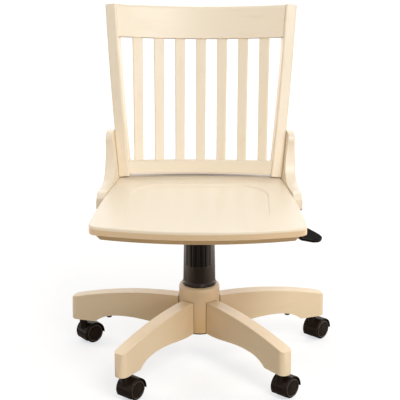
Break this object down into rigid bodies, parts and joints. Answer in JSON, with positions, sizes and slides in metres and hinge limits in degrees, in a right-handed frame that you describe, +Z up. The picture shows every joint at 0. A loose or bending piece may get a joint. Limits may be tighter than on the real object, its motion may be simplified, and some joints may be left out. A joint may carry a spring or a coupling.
{
  "type": "wooden swivel office chair",
  "caption": "Armless wooden swivel chair with slatted back, saddle seat, gas lift, sprung tilt and arched leg base on twin-wheel casters.",
  "frame": {"origin": "floor point under the column axis, casters standing on z = 0", "axes": "+Z up along the column, -Y to the front of the seat, +X to the side of the height lever"},
  "size_m": [0.6442, 0.6255, 0.8249],
  "materials": {
    "painted_wood": "satin cream paint",
    "black_steel": "black powder coat",
    "bright_steel": "bright zinc",
    "black_plastic": "gloss",
    "brown_plastic": "matte",
    "bumper_rubber": "matte"
  },
  "bodies": {
    "base": {"hub": "painted_wood", "leg_1": "painted_wood", "leg_2": "painted_wood", "leg_3": "painted_wood", "leg_4": "painted_wood", "leg_5": "painted_wood", "hub_socket": "black_steel", "hub_plate": "black_steel", "hub_screws": "bright_steel", "leg_bolts": "black_steel", "caster_sockets": "bright_steel", "gas_tube": "black_steel", "guide_bush": "black_plastic", "thrust_bearing": "bright_steel", "lower_cover": "brown_plastic"},
    "spindle": {"piston_rod": "bright_steel", "rod_clip": "black_steel"},
    "carriage": {"pressure_tube": "bright_steel", "upper_cover": "black_plastic", "tilt_housing": "black_steel", "pivot_pin": "bright_steel", "tilt_bumper": "bumper_rubber", "tension_spring": "bright_steel"},
    "release": {"release_pin": "bright_steel"},
    "lever": {"lever_rod": "bright_steel", "lever_paddle": "black_plastic"},
    "seat_unit": {"seat_plate": "black_steel", "seat_bolts": "black_steel", "tension_bolt": "bright_steel", "seat": "painted_wood", "bracket_left": "painted_wood", "bracket_right": "painted_wood", "bracket_bolts": "black_steel", "post_left": "painted_wood", "post_right": "painted_wood", "crest_rail": "painted_wood", "lower_rail": "painted_wood", "slat_1": "painted_wood", "slat_2": "painted_wood", "slat_3": "painted_wood", "slat_4": "painted_wood", "slat_5": "painted_wood", "slat_6": "painted_wood", "slat_7": "painted_wood"},
    "knob": {"tension_knob": "black_plastic"},
    "caster_1": {"caster_1_hood": "brown_plastic", "caster_1_pins": "bright_steel"},
    "caster_1_roll": {"caster_1_wheels": "black_plastic"},
    "caster_2": {"caster_2_hood": "brown_plastic", "caster_2_pins": "bright_steel"},
    "caster_2_roll": {"caster_2_wheels": "black_plastic"},
    "caster_3": {"caster_3_hood": "brown_plastic", "caster_3_pins": "bright_steel"},
    "caster_3_roll": {"caster_3_wheels": "black_plastic"},
    "caster_4": {"caster_4_hood": "brown_plastic", "caster_4_pins": "bright_steel"},
    "caster_4_roll": {"caster_4_wheels": "black_plastic"},
    "caster_5": {"caster_5_hood": "brown_plastic", "caster_5_pins": "bright_steel"},
    "caster_5_roll": {"caster_5_wheels": "black_plastic"}
  },
  "joints": [
    {"name": "seat_swivel", "type": "hinge", "parent": "base", "child": "spindle", "pos_m": [0, 0, 0.1], "axis": [0, 0, 1], "continuous": true},
    {"name": "seat_height", "type": "slide", "parent": "spindle", "child": "carriage", "axis": [0, 0, 1], "range_m": [0, 0.095]},
    {"name": "seat_tilt", "type": "hinge", "parent": "carriage", "child": "seat_unit", "pos_m": [0, -0.035, 0.352], "axis": [-1, 0, 0], "range_deg": [0, 12], "stiffness_Nm_per_rad": 120, "springref_deg": -14.32, "deforming": ["tension_spring"]},
    {"name": "tension_turn", "type": "hinge", "parent": "seat_unit", "child": "knob", "pos_m": [0, -0.095, 0.3], "axis": [0, 0, 1], "continuous": true},
    {"name": "height_lever", "type": "hinge", "parent": "carriage", "child": "lever", "pos_m": [0.043, 0, 0.354], "axis": [0, -1, 0], "range_deg": [0, 4], "stiffness_Nm_per_rad": 12, "springref_deg": -6.88},
    {"name": "release_press", "type": "slide", "parent": "carriage", "child": "release", "axis": [0, 0, -1], "range_m": [0, 0.0034]},
    {"name": "caster_1_swivel", "type": "hinge", "parent": "base", "child": "caster_1", "pos_m": [-0.01518, 0.29962, 0.06], "axis": [0, 0, 1], "continuous": true},
    {"name": "caster_1_spin", "type": "hinge", "parent": "caster_1", "child": "caster_1_roll", "pos_m": [-0.00128, 0.314, 0.025], "axis": [-0.7193, 0.6947, 0], "continuous": true},
    {"name": "caster_2_swivel", "type": "hinge", "parent": "base", "child": "caster_2", "pos_m": [-0.28964, 0.07815, 0.06], "axis": [0, 0, 1], "continuous": true},
    {"name": "caster_2_spin", "type": "hinge", "parent": "caster_2", "child": "caster_2_roll", "pos_m": [-0.27388, 0.09047, 0.025], "axis": [-0.6157, 0.788, 0], "continuous": true},
    {"name": "caster_3_swivel", "type": "hinge", "parent": "base", "child": "caster_3", "pos_m": [-0.16383, -0.25132, 0.06], "axis": [0, 0, 1], "continuous": true},
    {"name": "caster_3_spin", "type": "hinge", "parent": "caster_3", "child": "caster_3_roll", "pos_m": [-0.15097, -0.236, 0.025], "axis": [-0.766, 0.6428, 0], "continuous": true},
    {"name": "caster_4_swivel", "type": "hinge", "parent": "base", "child": "caster_4", "pos_m": [0.18839, -0.23347, 0.06], "axis": [0, 0, 1], "continuous": true},
    {"name": "caster_4_spin", "type": "hinge", "parent": "caster_4", "child": "caster_4_roll", "pos_m": [0.20177, -0.21861, 0.025], "axis": [-0.7431, 0.6691, 0], "continuous": true},
    {"name": "caster_5_swivel", "type": "hinge", "parent": "base", "child": "caster_5", "pos_m": [0.28026, 0.10702, 0.06], "axis": [0, 0, 1], "continuous": true},
    {"name": "caster_5_spin", "type": "hinge", "parent": "caster_5", "child": "caster_5_roll", "pos_m": [0.29338, 0.12212, 0.025], "axis": [-0.7547, 0.6561, 0], "continuous": true}
  ],
  "couplings": [
    {"joint": "release_press", "follows": "height_lever", "m_per_rad": 0.0475}
  ]
}
